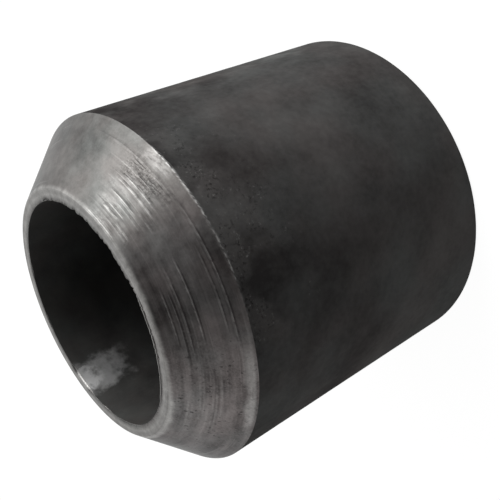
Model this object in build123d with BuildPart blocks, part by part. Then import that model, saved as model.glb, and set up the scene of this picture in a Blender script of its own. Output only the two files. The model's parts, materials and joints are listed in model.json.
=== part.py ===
from build123d import *
import os

# Weld bung: a short length of thick steel tube. One end is bevelled for welding to a pipe
# or a tank wall. The other is faced square and tapped with a half-inch parallel pipe thread.
# It stands on its square end, with its axis on Z and the weld bevel up. Millimetres.

# Tube
bore_diameter = 19.0  # also the tapping size of the thread, so it is the crests' diameter
wall = 5.5
length = 29.6

# Weld end, which is the upper one
root_face = 1.0  # flat ring left between the bore and the weld bevel
bevel_height = 4.6  # along the axis, so the bevel is close to 45 degrees

# Square end, which is the lower one
mouth_chamfer = 1.2  # countersink that leads a screw in, past the thread's 20.955 roots
edge_break = 0.2

bore_radius = bore_diameter / 2
outer_radius = bore_radius + wall
bevel_width = wall - root_face

os.makedirs("parts", exist_ok=True)

with BuildPart() as bung:
    # The tube, cut to length
    with BuildSketch(Plane.XY):
        Circle(outer_radius)
        Circle(bore_radius, mode=Mode.SUBTRACT)
    extrude(amount=length)

    # Weld bevel, turned on the upper end's outer edge
    weld_face = bung.faces().sort_by(Axis.Z)[-1]
    outer_edge = weld_face.edges().sort_by(SortBy.RADIUS)[-1]
    chamfer(outer_edge, length=bevel_width, length2=bevel_height, reference=weld_face)

    # Countersink at the bore's mouth, and the broken outer edge, on the lower end
    mouth_edge, rim_edge = bung.faces().sort_by(Axis.Z)[0].edges().sort_by(SortBy.RADIUS)
    chamfer(mouth_edge, length=mouth_chamfer)
    chamfer(rim_edge, length=edge_break)

bung.part.label = "weld_bung"
export_step(bung.part, "parts/weld_bung.step")
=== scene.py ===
import json
import math

import bpy
from mathutils import Matrix, Vector


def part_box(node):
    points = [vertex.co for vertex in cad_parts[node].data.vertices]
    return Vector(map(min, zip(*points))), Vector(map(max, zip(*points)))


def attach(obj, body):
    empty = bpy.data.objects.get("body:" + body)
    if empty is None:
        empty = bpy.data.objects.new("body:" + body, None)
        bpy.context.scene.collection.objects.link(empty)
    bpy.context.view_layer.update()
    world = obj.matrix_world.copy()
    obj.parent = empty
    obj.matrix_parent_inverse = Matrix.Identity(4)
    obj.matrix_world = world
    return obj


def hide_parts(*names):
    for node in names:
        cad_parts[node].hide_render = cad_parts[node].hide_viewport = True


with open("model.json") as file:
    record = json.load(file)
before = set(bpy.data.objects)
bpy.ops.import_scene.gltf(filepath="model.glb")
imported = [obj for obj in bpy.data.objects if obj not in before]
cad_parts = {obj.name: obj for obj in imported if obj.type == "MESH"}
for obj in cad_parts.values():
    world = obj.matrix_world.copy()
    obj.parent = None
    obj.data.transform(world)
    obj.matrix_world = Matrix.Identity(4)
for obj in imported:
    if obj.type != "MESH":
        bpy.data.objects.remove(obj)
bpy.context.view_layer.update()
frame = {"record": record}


# The tube. The real bung is a sawn-off length of thick seamless steel tube, turned at both
# ends and tapped from its square end. One closed line of rows in a half plane is its section:
# out along the square end, up the wall, in over the weld end, and down the bore and thread.

MM = 0.001

_, high_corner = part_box("weld_bung")
length = high_corner.z
mounts = {mount["name"]: mount for mount in frame["record"]["mounts"]}
bore_radius = mounts["threaded_port"]["dims"]["r_mm"] * MM

root_face = 1.0 * MM
bevel_height = 4.6 * MM
countersink = 1.2 * MM
mouth_radius = bore_radius + countersink
edge_break = 0.2 * MM

# The tube's faces lie this much inside its size, so that what stands up on them ends there.
burr_height = 0.02 * MM
wall_radius = high_corner.x - burr_height
root_face_level = length - burr_height
bevel_foot = length - bevel_height

# The thread is a half-inch parallel pipe thread: 14 to the inch, 55 degrees, rounded roots.
pitch = 25.4 * MM / 14
half_flank = math.radians(55 / 2)
major_radius = 20.955 * MM / 2
thread_depth = 14.0 * MM
thread_top = 9 * pitch

FINISHES = ("faced", "scale", "weld_end", "broken", "bore", "thread")
section = []


def turn_to(finish, points, columns_merged, **values):
    """Adds rows to the section. The strip from each row to the next one has its finish."""
    kind = {"finish": FINISHES.index(finish), "columns_merged": columns_merged}
    for radius, level in points:
        section.append({"radius": radius, "level": level} | kind | values)


def straight(start, end, step):
    """Points from start towards end, about a step apart, without the end itself."""
    count = max(1, round(math.dist(start, end) / step))
    return [
        tuple(a + (b - a) * i / count for a, b in zip(start, end)) for i in range(count)
    ]


def groove_radius(offset):
    """The thread's surface, at an offset along the axis from the middle of its groove."""
    sharp_radius = major_radius + pitch / (2 * math.tan(half_flank)) / 6
    root_round = (sharp_radius - major_radius) / (1 / math.sin(half_flank) - 1)
    offset = abs(offset)
    if offset < root_round * math.cos(half_flank):
        return major_radius - root_round + math.sqrt(root_round**2 - offset**2)
    return max(bore_radius, sharp_radius - offset / math.tan(half_flank))


# Square end, its broken edge, and the wall. The rows lie closer where the weld end begins.
fine_step = 0.1 * MM
face_step = 0.2 * MM
plain_step = 0.7 * MM
wall_margin = 0.5 * MM
square_rim = (wall_radius - edge_break, 0)
wall_foot = (wall_radius, edge_break)
wall_head = (wall_radius, bevel_foot - wall_margin)
turn_to("faced", straight((mouth_radius, 0), square_rim, face_step), 2, marks=0.1)
turn_to("scale", straight(square_rim, wall_foot, fine_step), 2)
turn_to("scale", straight(wall_foot, wall_head, plain_step), 2, relief=1.0)

# A thin burr runs along the bevel's outer edge: how far below it each row of the wall lies,
# and how much of the burr it has.
BURR_ROWS = ((0.12 * MM, 0.25), (0.05 * MM, 0.8))
burr_foot = (wall_radius, bevel_foot - 0.2 * MM)
turn_to("scale", straight(wall_head, burr_foot, fine_step), 1, relief=1.0)
turn_to("scale", [burr_foot], 1, relief=0.5)
for below, share in BURR_ROWS:
    turn_to("scale", [(wall_radius, bevel_foot - below)], 1, rim=share)

# Weld bevel, and its slightly blunted edge to the root face.
tool_step = 0.078 * MM
outer_edge = (wall_radius, bevel_foot)
root_edge = (bore_radius + root_face, root_face_level)
blunt_edge = (root_edge[0] + 0.02 * MM, root_face_level - 0.04 * MM)
bevel_points = straight(outer_edge, root_edge, tool_step)
turn_to("weld_end", bevel_points[:1], 1, rim=1.0)
turn_to("weld_end", bevel_points[1:2], 1, marks=0.4, rim=0.3)
turn_to("weld_end", bevel_points[2:-1], 1, marks=1.0)
turn_to("weld_end", [blunt_edge], 1, marks=0.4)

# Root face. Its inner edge is broken out: how far from the bore and below the face each row
# lies where the edge is gone.
BROKEN_ROWS = (
    (0.42 * MM, 0),
    (0.33 * MM, 0.03 * MM),
    (0.24 * MM, 0.08 * MM),
    (0.17 * MM, 0.17 * MM),
)
face_edge = (root_edge[0] - 0.1 * MM, root_face_level)
broken_edge = (bore_radius + BROKEN_ROWS[0][0], root_face_level)
turn_to("weld_end", straight(face_edge, broken_edge, fine_step), 1, marks=0.15)
for outwards, below in BROKEN_ROWS:
    point = (bore_radius + outwards, root_face_level - below)
    turn_to("broken", [point], 1, broken=1.0)

# In some places a ragged fin still stands between the broken edge and the bore: the finish of
# each row, how far from the bore and below the fin's foot it lies, and its share of the height.
FIN_ROWS = (
    ("weld_end", 0.14 * MM, 0, 0.5),
    ("weld_end", 0.12 * MM, 0, 1.0),
    ("bore", 0.05 * MM, 0, 1.0),
    ("bore", 0, 0.01 * MM, 0.7),
)
fin_foot = root_face_level - 0.3 * MM
for finish, outwards, below, share in FIN_ROWS:
    turn_to(finish, [(bore_radius + outwards, fin_foot - below)], 1, broken=1.0, fin=share)

# Plain bore.
bore_lip = (bore_radius, fin_foot - 0.08 * MM)
bore_throat = (bore_radius, root_face_level - 1.6 * MM)
turn_to("bore", straight(bore_lip, bore_throat, 0.15 * MM), 1, relief=0.5)
turn_to("bore", straight(bore_throat, (bore_radius, thread_top), plain_step), 4, relief=0.5)

# Thread. Each turn of it has the same few rows, closest together where the groove bends.
flank_offsets = (0.11, 0.221, 0.44, 0.66)
turn_offsets = sorted(
    [side * offset * MM for offset in flank_offsets for side in (-1, 1)] + [0.0, pitch / 2],
    reverse=True,
)
for turn in range(round(thread_top / pitch) + 1):
    middle = thread_top - pitch / 2 - turn * pitch
    groove = [(groove_radius(offset), middle + offset) for offset in turn_offsets]
    turn_to("thread", groove, 4, lead=1.0)
turn_to("thread", [(bore_radius, -pitch)], 4, lead=1.0)
turn_to("faced", [(mouth_radius, 0)], 2, marks=0.1)

section_mesh = bpy.data.meshes.new("tapped_bung")
section_mesh.from_pydata(
    [(row["radius"], 0, row["level"]) for row in section],
    [(i, i + 1) for i in range(len(section) - 1)],
    [],
)
ROW_VALUES = {"finish": "INT", "columns_merged": "INT"}
ROW_VALUES |= {name: "FLOAT" for name in ("marks", "relief", "lead", "rim", "fin", "broken")}
for name, kind in ROW_VALUES.items():
    values = section_mesh.attributes.new(name, kind, "POINT").data
    values.foreach_set("value", [row.get(name, 0) for row in section])
bung = bpy.data.objects.new("tapped_bung", section_mesh)
bpy.context.scene.collection.objects.link(bung)


# The turning. A tree carries the section round the axis. Thread rows climb one pitch a turn,
# stop at the mouth and at the thread's top, and run out there. The lathe's marks, the torn
# places and the burrs are then raised and sunk in the mesh itself.

class Wire:
    """A node's output in a tree, so that sums of nodes read like ordinary sums."""

    def __init__(self, tree, socket):
        self.tree = tree
        self.socket = socket

    def math(self, operation, *others, clamp=False):
        node = self.tree.nodes.new("ShaderNodeMath")
        node.operation = operation
        node.use_clamp = clamp
        for socket, value in zip(node.inputs, (self, *others)):
            plug(self.tree, socket, value)
        return Wire(self.tree, node.outputs[0])

    def __add__(self, other):
        return self.math("ADD", other)

    def __sub__(self, other):
        return self.math("SUBTRACT", other)

    def __mul__(self, other):
        return self.math("MULTIPLY", other)

    def __truediv__(self, other):
        return self.math("DIVIDE", other)

    def at_least(self, other):
        return self.math("MAXIMUM", other)

    def at_most(self, other):
        return self.math("MINIMUM", other)

    def clamped(self):
        return self.math("ADD", 0.0, clamp=True)

    def near(self, place, reach, core=0.0):
        """1 within the core of a place, falling softly to 0 at its reach to each side."""
        return (self - place).math("ABSOLUTE").between(reach, core)

    def between(self, low, high):
        """Rises softly from 0 to 1 as the value goes from low to high."""
        limits = {"Value": self, "From Min": low, "From Max": high}
        return node(self.tree, "ShaderNodeMapRange", limits, interpolation_type="SMOOTHSTEP")


def plug(tree, socket, value):
    """Links a wire to a socket, or sets the socket to a plain value."""
    if isinstance(value, Wire):
        tree.links.new(value.socket, socket)
    else:
        socket.default_value = value


def node(tree, kind, inputs=None, output=0, **settings):
    """Adds one node with its settings and inputs, and gives the wire of one output."""
    made = tree.nodes.new(kind)
    for name, value in settings.items():
        setattr(made, name, value)
    for name, value in (inputs or {}).items():
        plug(tree, made.inputs[name], value)
    return Wire(tree, made.outputs[output])


def vector(tree, x, y, z):
    return node(tree, "ShaderNodeCombineXYZ", {"X": x, "Y": y, "Z": z})


def split(tree, place):
    parts = tree.nodes.new("ShaderNodeSeparateXYZ")
    plug(tree, parts.inputs[0], place)
    return tuple(Wire(tree, output) for output in parts.outputs)


def noise(tree, place, detail=2.0, roughness=0.5):
    return node(
        tree,
        "ShaderNodeTexNoise",
        {"Vector": place, "Scale": 1.0, "Detail": detail, "Roughness": roughness},
    )


def round_place(tree, place):
    """The direction from the axis, as x and y of a unit circle, with reach and level."""
    x, y, level = split(tree, place)
    reach = (x * x + y * y).math("SQRT")
    return x / reach, y / reach, reach, level


def ring_noise(east, north, fineness, third, detail=2.0, roughness=0.5):
    """Noise that joins up round the axis. The third place runs along it or across a face."""
    tree = east.tree
    return noise(tree, vector(tree, east * fineness, north * fineness, third), detail, roughness)


def facing(east, north, arc):
    """1 along the middle of an arc round the axis, falling softly to 0 at its ends.

    An arc is an angle in degrees, and how far to each side its middle and its ends reach.
    """
    angle, inner, outer = (math.radians(part) for part in arc)
    along = east * math.cos(angle) + north * math.sin(angle)
    return along.between(math.cos(outer), math.cos(inner))


def interface(tree, side, sockets):
    """Gives a tree its named inputs or outputs: a starting value or a kind for each name."""
    for name, value in sockets.items():
        kind = {int: "Int", float: "Float", tuple: "Color"}.get(type(value), value)
        made = tree.interface.new_socket(name, in_out=side, socket_type=f"NodeSocket{kind}")
        if not isinstance(value, str):
            made.default_value = value


# What the tree is given, by the names of its inputs.
SIZES = {
    "Columns": 600,
    "Pitch": pitch,
    "Bore Radius": bore_radius,
    "Mouth Radius": mouth_radius,
    "Thread Depth": thread_depth,
    "Thread Top": thread_top,
    "Ridge Spacing": 0.42 * MM,
    "Ridge Depth": 0.03 * MM,
    "Tear Depth": 0.08 * MM,
    "Scale Relief": 0.02 * MM,
    "Burr Height": burr_height,
    "Fin Height": 0.28 * MM,
}

# The bevel's clearest tool marks: how far in from its outer edge, the angle and how far round
# to each side, how deep each is, and how bright the painted highlight along it is. A line of
# painted shade runs beside each one.
mark_reach = 0.10 * MM
mark_core = 0.01 * MM
shade_gap = 0.14 * MM
shade_reach = 0.09 * MM
full_shade_depth = 0.05 * MM
TOOL_MARKS = (
    (0.28 * MM, -112, 7, 0.000 * MM, 0.16),
    (1.05 * MM, -95, 22, 0.024 * MM, 0.32),
    (1.20 * MM, -53, 19, 0.010 * MM, 0.06),
    (1.61 * MM, -98, 12, 0.024 * MM, 0.20),
    (2.02 * MM, -58, 5, 0.010 * MM, 0.20),
    (2.65 * MM, -62, 7, 0.022 * MM, 0.62),
    (3.10 * MM, -62, 9, 0.020 * MM, 0.48),
    (2.60 * MM, -136, 10, 0.006 * MM, 0.16),
    (2.94 * MM, -141, 12, 0.008 * MM, 0.18),
    (3.17 * MM, -144, 13, 0.006 * MM, 0.16),
    (3.36 * MM, -99, 14, 0.026 * MM, 0.30),
    (3.66 * MM, -71, 4, 0.010 * MM, 0.26),
    (3.83 * MM, -122, 26, 0.008 * MM, 0.12),
    (3.99 * MM, -60, 6, 0.018 * MM, 0.50),
    (4.10 * MM, -138, 12, 0.008 * MM, 0.16),
    (4.26 * MM, -103, 16, 0.026 * MM, 0.24),
    (4.37 * MM, -65, 6, 0.008 * MM, 0.24),
    (4.75 * MM, -61, 4, 0.016 * MM, 0.48),
    (4.95 * MM, -146, 9, 0.006 * MM, 0.16),
    (5.12 * MM, -59, 4, 0.018 * MM, 0.60),
    (4.70 * MM, -108, 14, 0.018 * MM, 0.14),
    (5.15 * MM, -103, 10, 0.024 * MM, 0.24),
    (5.36 * MM, -68, 4, 0.012 * MM, 0.46),
    (5.63 * MM, -66, 6, 0.006 * MM, 0.24),
    (6.16 * MM, -59, 8, 0.012 * MM, 0.50),
)

# Broad patches of painted shade and painted light on the bevel's film: how far in and how wide,
# the angle and how far round to each side, and how much lighter.
PAINTED_PATCHES = (
    (5.3 * MM, 1.8 * MM, -93, 20, -0.22),
    (6.2 * MM, 0.35 * MM, -100, 30, -0.20),
    (5.5 * MM, 0.26 * MM, -96, 26, -0.16),
    (4.6 * MM, 0.22 * MM, -100, 22, -0.12),
    (4.0 * MM, 0.30 * MM, -97, 24, -0.14),
    (3.1 * MM, 0.24 * MM, -94, 20, -0.10),
    (1.8 * MM, 1.8 * MM, -100, 16, 0.10),
    (2.4 * MM, 1.6 * MM, -112, 16, 0.14),
    (3.8 * MM, 2.4 * MM, -150, 20, 0.28),
    (1.2 * MM, 2.2 * MM, -172, 16, -0.24),
    (4.6 * MM, 2.0 * MM, -176, 12, -0.20),
    (5.7 * MM, 1.4 * MM, -152, 28, 0.24),
    (3.0 * MM, 3.4 * MM, -42, 14, 0.12),
    (4.6 * MM, 2.6 * MM, -60, 10, 0.24),
    (4.6 * MM, 2.2 * MM, -14, 16, 0.14),
    (2.2 * MM, 1.6 * MM, -18, 12, -0.14),
)


# Where the worn and broken places are round the axis. The photograph's camera stands at -90.
NOTCHED = (-64, 48, 62)
DEEPLY_CHIPPED = (-117, 24, 36)
CHIPPED_BEHIND = (121, 5, 12)
GLINT_BEHIND = (121, 3, 7)
TALL_FIN = (-118, 22, 32)
LOW_FIN = (-76, 18, 30)
BURRED = (-68, 9, 15)
BURR_END = (-81, 12, 20)
MARKED = (-92, 28, 50)
TORN = (-59, 4, 10)
SCUFFED = (-62, 6, 16)
WORN_THIN = (-60, 4, 13)
PITTED = (-147, 24, 42)
OILY = (-125, 40, 62)
LIGHTER_BAND = (-132, 10, 18)
GLINTING = (-60, 2, 7)
BRIGHT_LIP_WIDE = (-165, 14, 40)

# Edges that bend by more than this stay hard, and points closer than this become one.
hard_edge = math.radians(32)
merge_distance = 0.001 * MM


def named(tree, name, kind="FLOAT"):
    return node(tree, "GeometryNodeInputNamedAttribute", {"Name": name}, data_type=kind)


def keep(geometry, name, value, kind="FLOAT", domain="POINT"):
    """Keeps a value on the mesh by its name, for later steps and for the materials."""
    stored = {"Geometry": geometry, "Name": name, "Value": value}
    kinds = {"data_type": kind, "domain": domain}
    return node(geometry.tree, "GeometryNodeStoreNamedAttribute", stored, **kinds)


def of_row(tree, given, name, row):
    """A value of one row of the section, or its position."""
    kind = ROW_VALUES.get(name, "FLOAT_VECTOR")
    if name == "position":
        value = node(tree, "GeometryNodeInputPosition")
    else:
        value = named(tree, name, kind)
    sample = {"Geometry": given["Section"], "Value": value, "Index": row}
    return node(tree, "GeometryNodeSampleIndex", sample, data_type=kind)


def tapped(given, radius, level, lead, turn):
    """Lets the thread's rows climb, and run out at the mouth and at the thread's top."""
    climbed = level + lead * given["Pitch"] * turn
    stopped = climbed.at_least(0.0).at_most(given["Thread Top"])
    fade = (given["Thread Top"] - stopped) / (given["Thread Top"] - given["Thread Depth"])
    cut = given["Bore Radius"] + (radius - given["Bore Radius"]) * fade.at_most(1.0)
    cut = cut.at_least(given["Mouth Radius"] - stopped)
    return radius + lead * (cut - radius), level + lead * (stopped - level)


def turned_rows(tree, given):
    """The section carried round the axis as one closed mesh, with its edges broken out."""
    index = node(tree, "GeometryNodeInputIndex")
    rows = node(tree, "GeometryNodeAttributeDomainSize", {"Geometry": given["Section"]})
    grid_size = {"Vertices X": given["Columns"] + 1, "Vertices Y": rows}
    grid = node(tree, "GeometryNodeMeshGrid", grid_size | {"Size X": 1.0, "Size Y": 1.0})
    row = index.math("MODULO", rows)
    strip = index.math("MODULO", rows - 1)
    column = index.math("DIVIDE", rows).math("FLOOR")
    merged = of_row(tree, given, "columns_merged", row)
    turn = (column / merged).math("FLOOR") * merged / given["Columns"]
    radius, _, level = split(tree, of_row(tree, given, "position", row))
    lead, rim, fin_share, broken = (
        of_row(tree, given, name, row) for name in ("lead", "rim", "fin", "broken")
    )
    radius, level = tapped(given, radius, level, lead, turn)
    angle = turn * (2 * math.pi)
    east = angle.math("COSINE")
    north = angle.math("SINE")

    # The bore's edge is chipped away in places. Elsewhere its rows close up to a sharp corner.
    ragged = ring_noise(east, north, 34.0, 2.0, 3.0, 0.7)
    drift = ring_noise(east, north, 3.0, 4.0, 1.0)
    nicks = ring_noise(east, north, 15.0, 9.0, 5.0, 0.8)
    notches = nicks.between(0.46, 0.58) * facing(east, north, NOTCHED)
    chip = facing(east, north, DEEPLY_CHIPPED) * 0.6 + drift.between(0.5, 0.62) * 0.15
    chip = chip + facing(east, north, CHIPPED_BEHIND) * 0.4 + notches * 0.6 + 0.05
    chip = chip.at_most(1.1) * broken
    unbroken = broken - chip
    radius = radius - (radius - given["Bore Radius"]) * unbroken
    level = level - (level - root_face_level) * unbroken

    # The fin that still stands there.
    fin = (ragged.between(0.3, 0.46) * 0.4 + 0.6) * facing(east, north, TALL_FIN)
    fin = fin.at_least(ragged.between(0.44, 0.56) * facing(east, north, LOW_FIN) * 0.6)
    level = level + fin * fin_share * chip * given["Fin Height"]

    # The burr along the bevel's outer edge, bright where it was knocked about.
    rim_patch = facing(east, north, BURRED)
    rim_patch = rim_patch.at_least(facing(east, north, BURR_END) * 0.5)
    rim_patch = rim_patch.at_least(drift.between(0.55, 0.7) * 0.2)
    rim = rim * rim_patch
    knocks = ring_noise(east, north, 44.0, level / (0.1 * MM), 2.0, 0.7)
    radius = radius + rim * ragged.between(0.4, 0.6) * given["Burr Height"]

    placed = {"Geometry": grid, "Position": vector(tree, radius * east, radius * north, level)}
    turned = node(tree, "GeometryNodeSetPosition", placed)
    for name in ("marks", "relief"):
        turned = keep(turned, name, of_row(tree, given, name, row))
    # The broken edge is dulled, except a small spot behind the bore, which is left bright as a
    # painted glint.
    dulled = (broken - fin_share) * (facing(east, north, GLINT_BEHIND) * -1.0 + 1.0)
    turned = keep(turned, "dulled", dulled)
    turned = keep(turned, "bare", rim * knocks.between(0.42, 0.6))
    turned = keep(turned, "finish", of_row(tree, given, "finish", strip), "INT", "FACE")
    closing = {"Geometry": turned, "Distance": merge_distance}
    return node(tree, "GeometryNodeMergeByDistance", closing)


def worn_by_the_lathe(tree, given, closed):
    """The same mesh with the lathe's marks cut into it, its wear, and its painted light and shade.
    """
    east, north, reach, level = round_place(tree, node(tree, "GeometryNodeInputPosition"))
    inwards = (level - reach - (bevel_foot - wall_radius)) * math.sqrt(0.5)
    across = inwards / given["Ridge Spacing"]
    patches = ring_noise(east, north, 8.0, across * 0.5, 1.0)
    breaks = ring_noise(east, north, 26.0, across * 2.4, 2.0, 0.6)

    # Faint long ridges, and a torn stretch of short ones.
    wide = ring_noise(east, north, 0.9, across, 1.0)
    fine = ring_noise(east, north, 1.8, across * 2.7 + 3.0, 1.0)
    tear = ring_noise(east, north, 14.0, across * 2.0, 2.0, 0.6)
    marked = facing(east, north, MARKED) * 0.85 + 0.15
    torn = facing(east, north, TORN) * inwards.between(1.0 * MM, 1.5 * MM)
    torn = torn * inwards.between(3.0 * MM, 2.4 * MM)
    torn = torn + facing(east, north, SCUFFED) * patches.between(0.52, 0.66) * 0.45
    cut = (wide + fine * 0.5 - 0.75) * marked * given["Ridge Depth"]
    cut = cut + torn * (tear - 0.5) * given["Tear Depth"]

    # The film's painted patches of light and shade, and the clear tool marks, each with a painted
    # highlight on one side and painted shade on the other.
    worn_thin = facing(east, north, WORN_THIN) * inwards.between(1.4 * MM, 3.0 * MM)
    polish_and_highlight = worn_thin * patches.between(0.35, 0.6) * 0.16
    painted_patches = [
        inwards.near(place, width) * facing(east, north, (angle, 0, spread)) * change
        for place, width, angle, spread, change in PAINTED_PATCHES
    ]
    painted_light_and_shade = sum(painted_patches[1:], painted_patches[0])
    for place, angle, spread, depth, brightness in TOOL_MARKS:
        around = facing(east, north, (angle, spread * 0.6, spread * 1.2))
        lit = inwards.near(place, mark_reach, mark_core) * around
        shaded_side = inwards.near(place - shade_gap, shade_reach, mark_core) * around
        cut = cut + lit * depth
        polish_and_highlight = polish_and_highlight + lit * breaks.between(0.36, 0.56) * brightness
        painted_light_and_shade = painted_light_and_shade - shaded_side * breaks.between(0.3, 0.5) * (depth / full_shade_depth)

    # A lighter band and a painted glint beside the bevel's outer edge, and the bright bare root
    # face beyond its inner edge, reaching further onto the bevel in one place, with a painted
    # highlight along its edge by the bore.
    wander = ring_noise(east, north, 12.0, level / (2 * MM), 4.0, 0.6) - 0.5
    slow = ring_noise(east, north, 4.0, 6.0, 1.0) - 0.5
    band = facing(east, north, LIGHTER_BAND)
    band = band * (inwards + slow * MM).between(1.2 * MM, 0.6 * MM)
    band = band * inwards.between(0.05 * MM, 0.35 * MM) * 0.36
    glint = facing(east, north, GLINTING) * (inwards + wander * MM).between(1.1 * MM, 0.5 * MM)
    glint = glint * breaks.between(0.3, 0.5) * 0.28
    drawn_out = facing(east, north, BRIGHT_LIP_WIDE) * 0.3 * MM + wander * 0.5 * MM
    lip = (inwards + drawn_out).between(6.0 * MM, 6.5 * MM) * 0.68
    lip = lip + inwards.between(6.6 * MM, 6.86 * MM) * 0.32
    polish_and_highlight = polish_and_highlight.at_least(band).at_least(glint).at_least(lip)

    skin = ring_noise(east, north, 9.0, level / (1.9 * MM), 3.0) - 0.5
    depth = named(tree, "marks") * cut + named(tree, "relief") * skin * given["Scale Relief"]
    outward = {0: node(tree, "GeometryNodeInputNormal"), "Scale": depth * -1.0}
    inward = node(tree, "ShaderNodeVectorMath", outward, operation="SCALE")
    worn = node(tree, "GeometryNodeSetPosition", {"Geometry": closed, "Offset": inward})
    kept = {"torn": torn, "marked": marked, "painted_light_and_shade": painted_light_and_shade, "polish_and_highlight": polish_and_highlight}
    kept |= {"pitted": facing(east, north, PITTED), "oily": facing(east, north, OILY)}
    for name, value in kept.items():
        worn = keep(worn, name, value)
    return worn


def coated(tree, worn, materials):
    """The mesh with its hard edges kept hard, and a material on each strip."""
    bent = node(tree, "GeometryNodeInputMeshEdgeAngle").math("GREATER_THAN", hard_edge)
    shading = {"Geometry": worn, "Shade Smooth": bent.math("LESS_THAN", 0.5)}
    solid = node(tree, "GeometryNodeSetShadeSmooth", shading, domain="EDGE")
    solid = node(tree, "GeometryNodeRealizeInstances", {"Geometry": solid})
    finish = named(tree, "finish", "INT")
    for number, material in enumerate(materials):
        chosen = finish.math("COMPARE", float(number), 0.1)
        coat = {"Geometry": solid, "Selection": chosen, "Material": material}
        solid = node(tree, "GeometryNodeSetMaterial", coat)
    return solid


def turn_and_tap(materials):
    tree = bpy.data.node_groups.new("turn_and_tap", "GeometryNodeTree")
    interface(tree, "INPUT", {"Section": "Geometry"} | SIZES)
    interface(tree, "OUTPUT", {"Bung": "Geometry"})
    start = tree.nodes.new("NodeGroupInput")
    given = {socket.name: Wire(tree, socket) for socket in start.outputs}
    worn = worn_by_the_lathe(tree, given, turned_rows(tree, given))
    end = tree.nodes.new("NodeGroupOutput")
    plug(tree, end.inputs["Bung"], coated(tree, worn, materials))
    return tree


# The finishes. The turned faces are bare grey steel with drawn-out tool marks. The wall and
# the bore keep the black scale of the hot-rolled tube, rubbed through along the burr. Painted
# light and shade lie on several of them.

FILM_TINT = (1.0, 0.88, 0.92, 1)
BRIGHT_STEEL = (0.50, 0.493, 0.478, 1)
RUBBED_SCALE = (0.5, 0.5, 0.49, 1)
BORE_HIGHLIGHT = (0.7, 0.7, 0.7, 1)
DULL_TINT = (0.3, 0.3, 0.3, 1)


def shader_group(name, inputs, outputs):
    """Starts a shared effect: its tree, its inputs, the place on the piece, and its end."""
    tree = bpy.data.node_groups.new(name, "ShaderNodeTree")
    interface(tree, "INPUT", inputs)
    interface(tree, "OUTPUT", outputs)
    start = tree.nodes.new("NodeGroupInput")
    given = {socket.name: Wire(tree, socket) for socket in start.outputs}
    place = Wire(tree, tree.nodes.new("ShaderNodeTexCoord").outputs["Object"])
    return tree, given, place, tree.nodes.new("NodeGroupOutput")


def make_tool_marks():
    """Marks that run round the axis: their height, and the thin bright scores among them."""
    tree, given, place, end = shader_group(
        "tool_marks",
        {"Spacing": 0.2 * MM, "Streak": 9 * MM, "Outwards": 1.0, "Upwards": 0.0, "Seed": 0.0},
        {"Height": "Float", "Scores": "Float"},
    )
    x, y, level = split(tree, place)
    reach = (x * x + y * y).math("SQRT")
    across = (reach * given["Outwards"] + level * given["Upwards"]) / given["Spacing"]
    across = across + given["Seed"]
    streak = given["Streak"]
    along = vector(tree, x / streak, y / streak, across)
    plug(tree, end.inputs["Height"], noise(tree, along, 2.0, 0.6))
    along = vector(tree, x / streak * 1.4, y / streak * 1.4, across * 1.6 + 31.0)
    plug(tree, end.inputs["Scores"], noise(tree, along, 1.0).between(0.62, 0.74))
    return tree


def make_mottling():
    """Soft clouds of lighter and darker tone, and a faint tint from oil and heat."""
    tree, given, place, end = shader_group(
        "mottling",
        {"Patch": 4 * MM, "Seed": 0.0},
        {"Tone": "Float", "Tint": "Color"},
    )
    x, y, z = split(tree, place)
    patch = given["Patch"]
    at = vector(tree, x / patch + given["Seed"], y / patch, z / patch)
    plug(tree, end.inputs["Tone"], noise(tree, at, 5.0, 0.6))
    at = vector(tree, x / patch, y / patch + given["Seed"] + 17.0, z / patch)
    tint = node(tree, "ShaderNodeValToRGB", {"Fac": noise(tree, at, 2.0)})
    ramp = tint.socket.node.color_ramp
    ramp.elements[0].position = 0.36
    ramp.elements[0].color = (1.0, 0.965, 0.945, 1)
    ramp.elements[1].position = 0.64
    ramp.elements[1].color = (0.965, 1.0, 0.985, 1)
    plug(tree, end.inputs["Tint"], tint)
    return tree


def make_specks():
    """Scattered pits or grains of uneven size, which may be drawn out away from the axis."""
    sizes = {"Size": 0.4 * MM, "Stretch": 1.0, "Fill": 0.3}
    run = {"Outwards": 0.0, "Upwards": 1.0, "Seed": 0.0}
    tree, given, place, end = shader_group("specks", sizes | run, {"Mask": "Float"})
    east, north, reach, level = round_place(tree, place)
    size = given["Size"]
    across = (reach * given["Outwards"] + level * given["Upwards"]) / (size * given["Stretch"])
    place_east = east * wall_radius / size
    place_north = north * wall_radius / size
    at = vector(tree, place_east, place_north, across + given["Seed"])
    warp = noise(tree, at, 2.0)
    bend = node(tree, "ShaderNodeTexNoise", {"Vector": at, "Scale": 2.2, "Detail": 2.0}, 1)
    shift = node(tree, "ShaderNodeVectorMath", {0: bend, "Scale": 1.1}, operation="SCALE")
    bent = node(tree, "ShaderNodeVectorMath", {0: at, 1: shift}, operation="ADD")
    cells = tree.nodes.new("ShaderNodeTexVoronoi")
    plug(tree, cells.inputs["Vector"], bent)
    plug(tree, cells.inputs["Scale"], 1.0)
    chance, _, _ = split(tree, Wire(tree, cells.outputs["Color"]))
    spread = given["Fill"] * (chance * 1.4 - 0.4) * (warp + 0.5)
    gone = Wire(tree, cells.outputs["Distance"]) / spread.at_least(0.0001)
    plug(tree, end.inputs["Mask"], gone.between(1.1, 0.7))
    return tree


tool_marks = make_tool_marks()
mottling = make_mottling()
specks = make_specks()


def effect(tree, group, output, **inputs):
    """Places one of the shared effects in a material, and gives one of its outputs."""
    made = tree.nodes.new("ShaderNodeGroup")
    made.node_tree = group
    for name, value in inputs.items():
        plug(tree, made.inputs[name], value)
    return Wire(tree, made.outputs[output])


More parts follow.
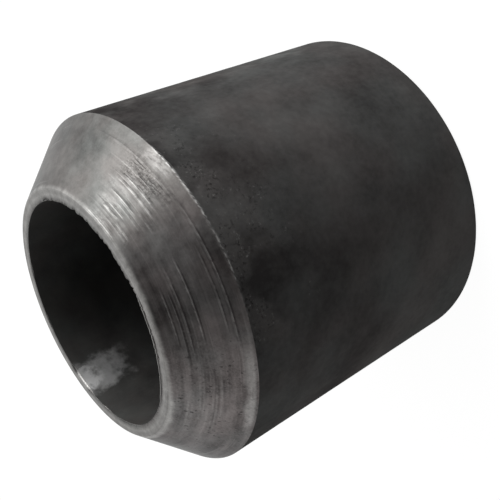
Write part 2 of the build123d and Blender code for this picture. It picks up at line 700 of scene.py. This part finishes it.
def mixed(tree, factor, under, over, blend_type="MIX"):
    """Lays one colour over another, by a factor."""
    made = tree.nodes.new("ShaderNodeMix")
    made.data_type = "RGBA"
    made.blend_type = blend_type
    factor_socket, under_socket, over_socket = (made.inputs[number] for number in (0, 6, 7))
    plug(tree, factor_socket, factor)
    plug(tree, under_socket, under)
    plug(tree, over_socket, over)
    return Wire(tree, made.outputs[2])


def tinted(tree, dark, light, tone, tint):
    """A colour between dark and light by tone, with the tint laid over it."""
    return mixed(tree, 1.0, mixed(tree, tone, (*dark, 1), (*light, 1)), tint, "MULTIPLY")


def steel(name, metallic, roughness, specular=0.5):
    """A new material, with its tree and its shader."""
    material = bpy.data.materials.new(name)
    material.use_nodes = True
    shader = material.node_tree.nodes["Principled BSDF"]
    shader.inputs["Metallic"].default_value = metallic
    shader.inputs["Roughness"].default_value = roughness
    shader.inputs["Specular IOR Level"].default_value = specular
    return material, material.node_tree, shader


def bump(tree, shader, height, depth):
    raised = {"Height": height, "Distance": depth, "Strength": 1.0}
    plug(tree, shader.inputs["Normal"], node(tree, "ShaderNodeBump", raised))


def on_mesh(tree, name):
    """A value that the turning kept on the mesh."""
    return node(tree, "ShaderNodeAttribute", {}, 2, attribute_name=name)


def turned_steel(name, dark, light, roughness, depth, spacing, outwards, upwards, seed):
    """Bare steel as the lathe left it, under a thin film worn through in places, and painted light
    and shade.
    """
    material, tree, shader = steel(name, 1.0, roughness)
    run = {"Outwards": outwards, "Upwards": upwards, "Seed": seed}
    height = effect(tree, tool_marks, "Height", Spacing=spacing, Streak=9 * MM, **run)
    scores = effect(tree, tool_marks, "Scores", Spacing=spacing * 1.6, Streak=7 * MM, **run)
    bands = effect(tree, tool_marks, "Height", Spacing=spacing * 3.2, Streak=6 * MM, **run)
    pits = effect(tree, specks, "Mask", Size=0.32 * MM, Stretch=1.4, Fill=0.42, **run)
    cloud = effect(tree, mottling, "Tone", Patch=3.4 * MM, Seed=seed)
    tint = effect(tree, mottling, "Tint", Patch=3.4 * MM, Seed=seed)
    stain = effect(tree, mottling, "Tone", Patch=0.8 * MM, Seed=seed + 4.0)
    grit = effect(tree, mottling, "Tone", Patch=0.16 * MM, Seed=seed + 7.0)
    marked, torn, pitted, oily = (
        on_mesh(tree, name) for name in ("marked", "torn", "pitted", "oily")
    )
    polish_and_highlight, painted_light_and_shade, bare, dulled = (
        on_mesh(tree, name) for name in ("polish_and_highlight", "painted_light_and_shade", "bare", "dulled")
    )
    pits = pits * pitted * stain.between(0.42, 0.56)

    # The film: lighter and darker by its marks, clouds, stains and pits, and by painted light and
    # shade, and browner with oil.
    tone = (height - 0.5) * marked * 0.2 + (cloud - 0.5) * 1.1 + scores * marked * 0.12 + 0.42
    tone = tone + painted_light_and_shade + (stain - 0.5) * 0.7 + (bands - 0.5) * (pitted + 0.2) - pits * 0.6
    tone = tone + (grit - 0.5) * (torn * 1.1 + pitted * 0.6 + dulled * 3.0 + 0.3)
    film = tinted(tree, dark, light, tone.clamped(), tint)
    film = mixed(tree, oily * 0.5, film, mixed(tree, 1.0, film, FILM_TINT, "MULTIPLY"))

    # Bright steel, where the film is worn through, and painted highlights and glints.
    uneven = (stain - 0.5) * 1.5 + (grit - 0.5) * 0.7 + 1.0
    shine = (polish_and_highlight * uneven * (dulled * -0.92 + 1.0) + bare).clamped()
    plug(tree, shader.inputs["Base Color"], mixed(tree, shine, film, BRIGHT_STEEL))
    plug(tree, shader.inputs["Roughness"], (cloud - 0.5) * 0.3 + roughness - scores * 0.1)
    shape = (height + scores) * marked * 0.15 - pits * 0.6 + grit * (torn * 0.9 + 0.15)
    bump(tree, shader, shape, depth)
    return material


# Where the wall's scale, and the light and shade painted on it, differ round the axis.
FLAKING = (-84, 22, 42)
SHADED_BY_BEVEL = (-102, 10, 36)
LIT_LOW = (-142, 20, 56)
LIGHTER_SIDE = (-144, 20, 44)
DARKER_TOP = (-44, 16, 34)
SMEARED = (-18, 8, 26)


def mill_scale():
    material, tree, shader = steel("mill_scale", 0.0, 0.55, 0.0)
    cloud = effect(tree, mottling, "Tone", Patch=5.5 * MM, Seed=2.0)
    tint = effect(tree, mottling, "Tint", Patch=5.5 * MM, Seed=2.0)
    grain = effect(tree, mottling, "Tone", Patch=0.5 * MM, Seed=5.0)
    grit = effect(tree, mottling, "Tone", Patch=0.24 * MM, Seed=3.0)
    place = Wire(tree, tree.nodes.new("ShaderNodeTexCoord").outputs["Object"])
    x, y, _ = split(tree, place)
    east, north, _, level = round_place(tree, place)

    # Flaking scale by the bevel, with a few bright points in it.
    by_bevel = level.between(bevel_foot - 8 * MM, bevel_foot - 1 * MM)
    drift = noise(tree, vector(tree, x / (4 * MM), y / (4 * MM), level / (5 * MM) + 3.0), 2.0)
    flaking = by_bevel * drift.between(0.40, 0.52) * facing(east, north, FLAKING)
    clumps = ring_noise(east, north, 15.0, level / (0.8 * MM) + 2.0)
    clumps = clumps.between(0.44, 0.6) * 1.3 + 0.3
    flakes = grit.between(0.47, 0.38) * flaking * clumps
    points = grit.between(0.60, 0.70) * flaking * clumps

    # Painted shade, darker towards the bevel on one side, and painted light, lighter towards the
    # square end on another; a lighter stretch higher up, a darker patch by the bevel, and lighter
    # smears.
    painted_shade_by_bevel = level.between(bevel_foot - 14 * MM, bevel_foot - 2 * MM)
    painted_shade_by_bevel = painted_shade_by_bevel * facing(east, north, SHADED_BY_BEVEL) * 0.24
    painted_light_low = facing(east, north, LIT_LOW) * level.between(16 * MM, 5 * MM) * 0.3
    lighter_side = facing(east, north, LIGHTER_SIDE) * level.between(14 * MM, 22 * MM) * 0.26
    darker_top = by_bevel * facing(east, north, DARKER_TOP) * 0.16
    smears = ring_noise(east, north, 8.0, level / (2.2 * MM), 3.0)
    smears = smears.between(0.44, 0.72) * facing(east, north, SMEARED) * 0.36

    tone = (cloud - 0.5) * 1.3 + (grain - 0.5) * 0.5 - flakes * 0.24 + points * 0.6
    # Besides these, the wall is darker all round beside the bevel: painted shade.
    tone = tone + smears + painted_light_low + lighter_side - darker_top - painted_shade_by_bevel - by_bevel * 0.13 + flaking * 0.32
    tone = (tone + 0.46).clamped()
    scale = tinted(tree, (0.040, 0.0375, 0.038), (0.150, 0.147, 0.146), tone, tint)
    bare = (on_mesh(tree, "bare") + points * 0.1).at_most(1.0)
    plug(tree, shader.inputs["Base Color"], mixed(tree, bare, scale, RUBBED_SCALE))
    plug(tree, shader.inputs["Metallic"], bare * 0.96 + 0.04)
    plug(tree, shader.inputs["Roughness"], (grain - 0.5) * 0.3 + 0.52)
    shader.inputs["Specular Tint"].default_value = DULL_TINT
    bump(tree, shader, grain - flakes * 0.4 + points * 0.5, 0.02 * MM)
    return material


# A lighter, metallic patch on the bore just inside the weld end: a painted highlight.
HIGHLIGHT_DEEP = (121, 1, 12)
HIGHLIGHT_LIP = (122, 1, 7)


def dark_bore():
    material, tree, shader = steel("dark_bore", 0.0, 0.5, 0.2)
    cloud = effect(tree, mottling, "Tone", Patch=2.0 * MM, Seed=8.0)
    tint = effect(tree, mottling, "Tint", Patch=3.0 * MM, Seed=8.0)
    grain = effect(tree, mottling, "Tone", Patch=0.4 * MM, Seed=6.0)
    place = Wire(tree, tree.nodes.new("ShaderNodeTexCoord").outputs["Object"])
    east, north, _, level = round_place(tree, place)
    shifted = level + (cloud - 0.5) * 4 * MM
    swirl = (cloud - 0.5) * 0.22
    deep_patch = facing(east + swirl, north + swirl, HIGHLIGHT_DEEP) * 0.36
    deep_patch = deep_patch * shifted.between(length - 5.0 * MM, length - 3.0 * MM)
    lip_patch = facing(east - swirl, north - swirl, HIGHLIGHT_LIP) * 0.7
    lip_patch = lip_patch * shifted.between(length - 2.2 * MM, length - 0.8 * MM)
    painted_highlight = (deep_patch + lip_patch).at_most(1.0)
    # The bore is lighter towards the weld end.
    lighter_by_mouth = level.between(length - 5 * MM, length) * 0.4
    tone = ((cloud - 0.5) * 1.6 + lighter_by_mouth + 0.3).clamped()
    scale = tinted(tree, (0.027, 0.026, 0.026), (0.058, 0.057, 0.055), tone, tint)
    plug(tree, shader.inputs["Base Color"], mixed(tree, painted_highlight, scale, BORE_HIGHLIGHT))
    plug(tree, shader.inputs["Metallic"], painted_highlight)
    plug(tree, shader.inputs["Roughness"], (cloud - 0.5) * 0.3 + 0.5)
    bump(tree, shader, cloud + grain * 0.2, 0.05 * MM)
    return material


# Each turned face: its dark and light steel, how rough it is, how deep and how far apart its
# tool marks are, and which way they lie side by side: outwards, upwards, or between the two.
faced_end = turned_steel(
    "faced_end", (0.11, 0.109, 0.107), (0.24, 0.238, 0.235), 0.45,
    depth=0.012 * MM, spacing=0.22 * MM, outwards=1.0, upwards=0.0, seed=40.0,
)
weld_end = turned_steel(
    "weld_end", (0.055, 0.053, 0.052), (0.24, 0.238, 0.233), 0.46,
    depth=0.02 * MM, spacing=0.17 * MM, outwards=-0.7, upwards=0.7, seed=0.0,
)
broken_edge_steel = turned_steel(
    "broken_edge", (0.01, 0.01, 0.01), (0.20, 0.197, 0.195), 0.5,
    depth=0.03 * MM, spacing=0.16 * MM, outwards=1.0, upwards=0.0, seed=20.0,
)
cut_thread = turned_steel(
    "cut_thread", (0.08, 0.078, 0.077), (0.24, 0.237, 0.235), 0.40,
    depth=0.01 * MM, spacing=0.12 * MM, outwards=0.5, upwards=0.5, seed=60.0,
)
coats = {
    "faced": faced_end,
    "scale": mill_scale(),
    "weld_end": weld_end,
    "broken": broken_edge_steel,
    "bore": dark_bore(),
    "thread": cut_thread,
}
turning = bung.modifiers.new("turning", "NODES")
turning.node_group = turn_and_tap([coats[finish] for finish in FINISHES])
for item in turning.node_group.interface.items_tree:
    if item.name in SIZES:
        turning[item.identifier] = SIZES[item.name]
bpy.context.view_layer.update()
depsgraph = bpy.context.evaluated_depsgraph_get()
turned_mesh = bpy.data.meshes.new_from_object(bung.evaluated_get(depsgraph))
bung.modifiers.remove(turning)
bung.data = turned_mesh
turned_mesh.name = "tapped_bung"

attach(bung, "root")
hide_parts("weld_bung")


# The set: a white floor, one long soft light that leans over the bung from the side, and a
# surround that is pale near the floor and dark overhead, for the turned faces to reflect.

half_floor = 2.0

# Just under the bung, so that the two don't flicker where they meet.
floor_level = -0.02 * MM
corners = ((-1, -1), (1, -1), (1, 1), (-1, 1))
floor_mesh = bpy.data.meshes.new("floor")
floor_mesh.from_pydata(
    [(side * half_floor, end * half_floor, floor_level) for side, end in corners],
    [],
    [(0, 1, 2, 3)],
)
floor = bpy.data.objects.new("floor", floor_mesh)
bpy.context.scene.collection.objects.link(floor)
floor_material = bpy.data.materials.new("white_floor")
floor_material.use_nodes = True
tree = floor_material.node_tree
shader = tree.nodes["Principled BSDF"]
shader.inputs["Base Color"].default_value = (0.12, 0.12, 0.12, 1)
shader.inputs["Roughness"].default_value = 0.9
shader.inputs["Specular IOR Level"].default_value = 0.0
shader.inputs["Emission Color"].default_value = (1, 1, 1, 1)
rays = tree.nodes.new("ShaderNodeLightPath")
seen = Wire(tree, rays.outputs["Is Camera Ray"])
for name in ("Is Glossy Ray", "Is Transmission Ray"):
    seen = seen.at_least(Wire(tree, rays.outputs[name]))
plug(tree, shader.inputs["Emission Strength"], seen * 0.95)
floor_mesh.materials.append(floor_material)

# The camera is where the photograph was taken from, turned well over to one side.
camera_place = Vector((0, -58.36, 51.28)) * MM
camera_aim = Vector((-0.82, 0, 13.35)) * MM
camera_roll = math.radians(115.6)
camera_data = bpy.data.cameras.new("camera")
camera_data.sensor_width = 36
camera_data.lens = 55.85
camera_data.clip_start = 1 * MM
camera = bpy.data.objects.new("camera", camera_data)
bpy.context.scene.collection.objects.link(camera)
level_turn = (camera_aim - camera_place).to_track_quat("-Z", "Y").to_matrix().to_4x4()
camera.matrix_world = (
    Matrix.Translation(camera_place) @ level_turn @ Matrix.Rotation(-camera_roll, 4, "Z")
)
bpy.context.scene.camera = camera

# The long light.
light_azimuth = math.radians(-12)
light_elevation = math.radians(23)
light_distance = 0.45
light_width = 0.22
light_height = 0.40
light_radiance = 5.2
light_data = bpy.data.lights.new("long_light", "AREA")
light_data.shape = "RECTANGLE"
light_data.size = light_width
light_data.size_y = light_height
light_data.energy = light_radiance * math.pi * light_width * light_height
light = bpy.data.objects.new("long_light", light_data)
light.visible_camera = False
bpy.context.scene.collection.objects.link(light)
towards = Vector((
    math.cos(light_azimuth) * math.cos(light_elevation),
    math.sin(light_azimuth) * math.cos(light_elevation),
    math.sin(light_elevation),
))
middle = Vector((0, 0, length / 2))
light.matrix_world = (
    Matrix.Translation(middle + towards * light_distance)
    @ (-towards).to_track_quat("-Z", "Y").to_matrix().to_4x4()
)

# The surround.
world = bpy.data.worlds.new("surround")
bpy.context.scene.world = world
world.use_nodes = True
tree = world.node_tree
direction = Wire(tree, tree.nodes.new("ShaderNodeTexCoord").outputs["Generated"])
side, back, _ = split(tree, direction)


def shaded(tree, along, tones):
    """A grey that changes along one direction. Places run from -1 to 1."""
    made = node(tree, "ShaderNodeValToRGB", {"Fac": along * 0.5 + 0.5})
    ramp = made.socket.node.color_ramp
    for _ in range(len(tones) - 2):
        ramp.elements.new(0.5)
    for element, (place, tone) in zip(ramp.elements, tones):
        element.position = (place + 1) / 2
        element.color = (tone, tone, tone, 1)
    return made


BACK_TONES = ((-0.44, 0.05), (-0.2, 0.31), (0.1, 0.53), (0.8, 0.36), (1, 0.7))
SIDE_TONES = ((-1, 0.68), (-0.5, 0.02), (0, 0), (0.5, 0.45), (1, 0.95))
from_front = shaded(tree, back, BACK_TONES)
from_sides = shaded(tree, side, SIDE_TONES)
plug(tree, tree.nodes["Background"].inputs["Color"], from_front + from_sides)

bpy.context.scene.view_settings.view_transform = "Standard"
